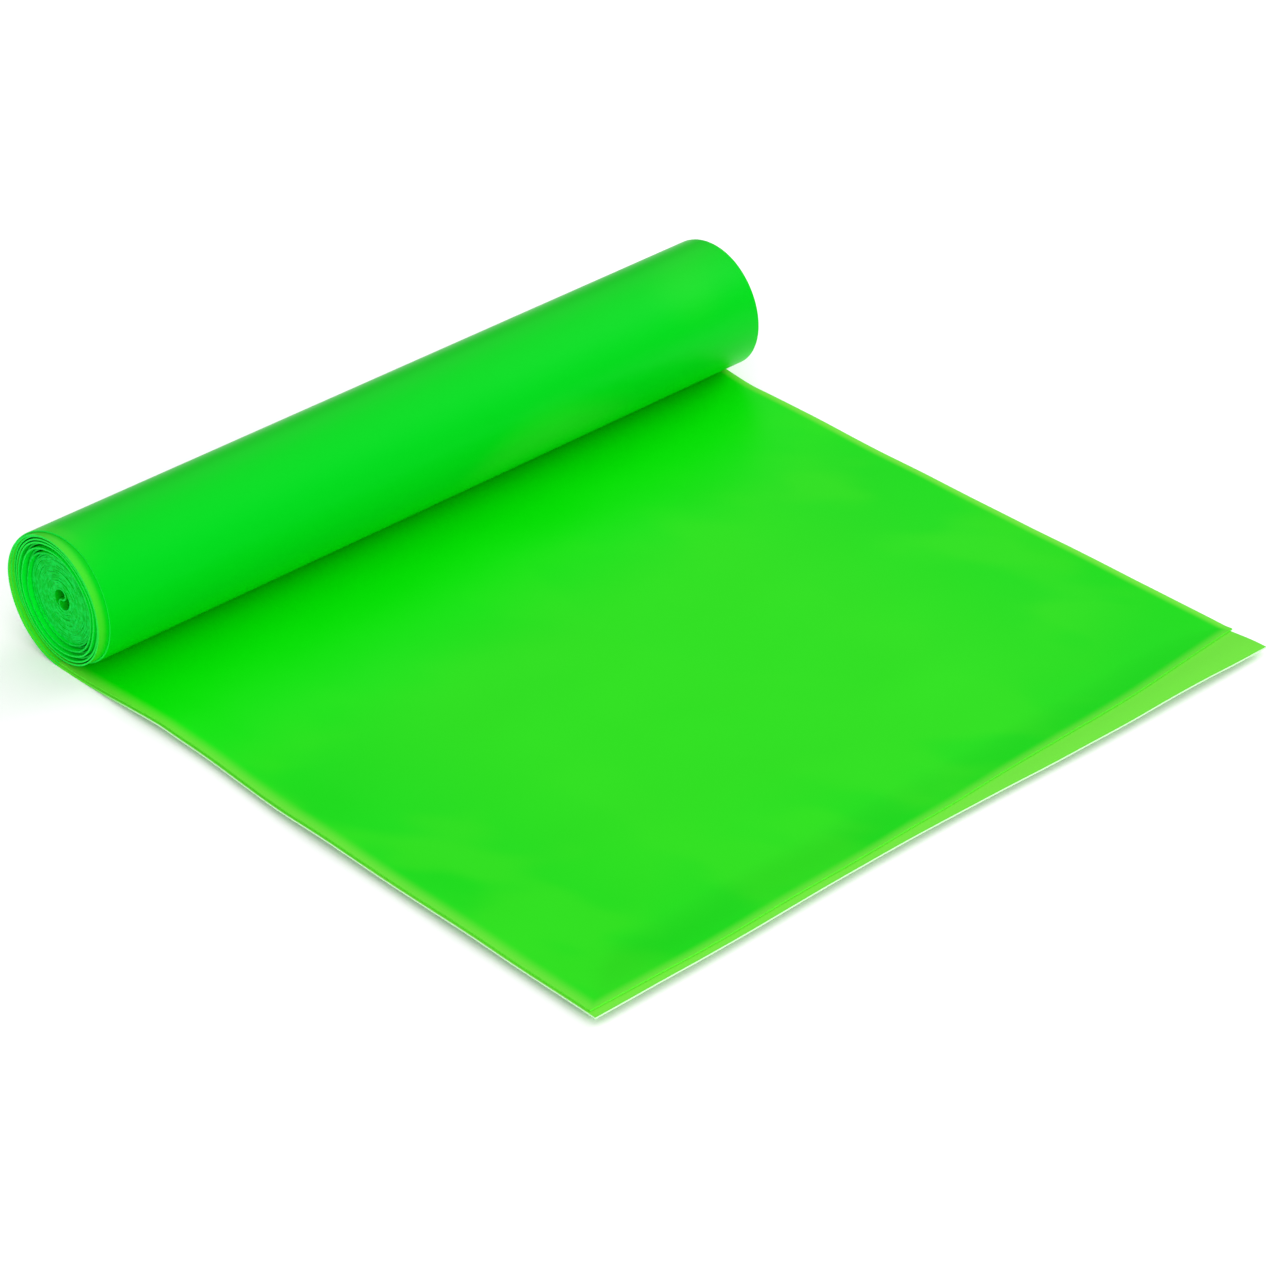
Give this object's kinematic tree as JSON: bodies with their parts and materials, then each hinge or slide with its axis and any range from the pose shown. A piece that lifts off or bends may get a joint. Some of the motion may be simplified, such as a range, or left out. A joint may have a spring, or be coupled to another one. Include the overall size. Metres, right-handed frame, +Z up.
{
  "type": "latex exercise resistance band",
  "caption": "Flat elastic latex exercise band wound from its middle into a roll, with both ends lying flat as a two-ply free stretch that pays out, stretches, lifts and peels apart.",
  "frame": {"origin": "on the table, under the middle of the whole band as it lies", "axes": "+Z up; +X from the roll towards the free ends; Y along the roll's axis"},
  "size_m": [0.1488, 0.15, 0.0251],
  "materials": {
    "latex": "satin, slightly translucent natural latex"
  },
  "bodies": {
    "outer_wrap": {"lower_outer_turn": "latex", "upper_outer_turn": "latex", "lower_next_turn": "latex", "upper_next_turn": "latex", "lower_payout_strip": "latex", "upper_payout_strip": "latex"},
    "roll": {"middle_fold": "latex", "lower_tight_turns": "latex", "upper_tight_turns": "latex", "lower_loose_turns": "latex", "upper_loose_turns": "latex"},
    "paid_out": {"lower_rear_strip": "latex", "upper_rear_strip": "latex", "lower_stretch_strip": "latex", "upper_stretch_strip": "latex"},
    "free_stretch": {"lower_mid_strip": "latex", "upper_mid_strip": "latex"},
    "grip_end": {"lower_grip_end": "latex", "upper_lift_strip": "latex"},
    "peel_1": {"upper_peel_strip_1": "latex"},
    "peel_2": {"upper_peel_strip_2": "latex"},
    "peel_3": {"upper_peel_strip_3": "latex"},
    "peel_4": {"upper_grip_end": "latex"}
  },
  "joints": [
    {"name": "roll_turn", "type": "hinge", "parent": "outer_wrap", "child": "roll", "pos_m": [-0.06188, 0, 0.0127], "axis": [0, 1, 0], "range_deg": [-360, 0], "deforming": ["lower_next_turn", "upper_next_turn"]},
    {"name": "pay_out", "type": "slide", "parent": "outer_wrap", "child": "paid_out", "axis": [1, 0, 0], "range_m": [0, 0.0764], "deforming": ["lower_payout_strip", "upper_payout_strip"]},
    {"name": "stretch", "type": "slide", "parent": "paid_out", "child": "free_stretch", "axis": [1, 0, 0], "range_m": [0, 0.12], "stiffness_N_per_m": 330, "deforming": ["lower_stretch_strip", "upper_stretch_strip"]},
    {"name": "lift", "type": "hinge", "parent": "free_stretch", "child": "grip_end", "pos_m": [0.00412, 0, 0.00063], "axis": [0, -1, 0], "range_deg": [0, 45]},
    {"name": "peel_1", "type": "hinge", "parent": "grip_end", "child": "peel_1", "pos_m": [0.01612, 0, 0.00063], "axis": [0, -1, 0], "range_deg": [0, 40]},
    {"name": "peel_2", "type": "hinge", "parent": "peel_1", "child": "peel_2", "pos_m": [0.03012, 0, 0.00063], "axis": [0, -1, 0], "range_deg": [0, 40]},
    {"name": "peel_3", "type": "hinge", "parent": "peel_2", "child": "peel_3", "pos_m": [0.04412, 0, 0.00063], "axis": [0, -1, 0], "range_deg": [0, 40]},
    {"name": "peel_4", "type": "hinge", "parent": "peel_3", "child": "peel_4", "pos_m": [0.05812, 0, 0.00063], "axis": [0, -1, 0], "range_deg": [0, 40]}
  ],
  "couplings": [
    {"joint": "pay_out", "follows": "roll_turn", "m_per_rad": -0.01215},
    {"joint": "peel_2", "follows": "peel_1", "ratio": 1},
    {"joint": "peel_3", "follows": "peel_1", "ratio": 1},
    {"joint": "peel_4", "follows": "peel_1", "ratio": 1}
  ]
}
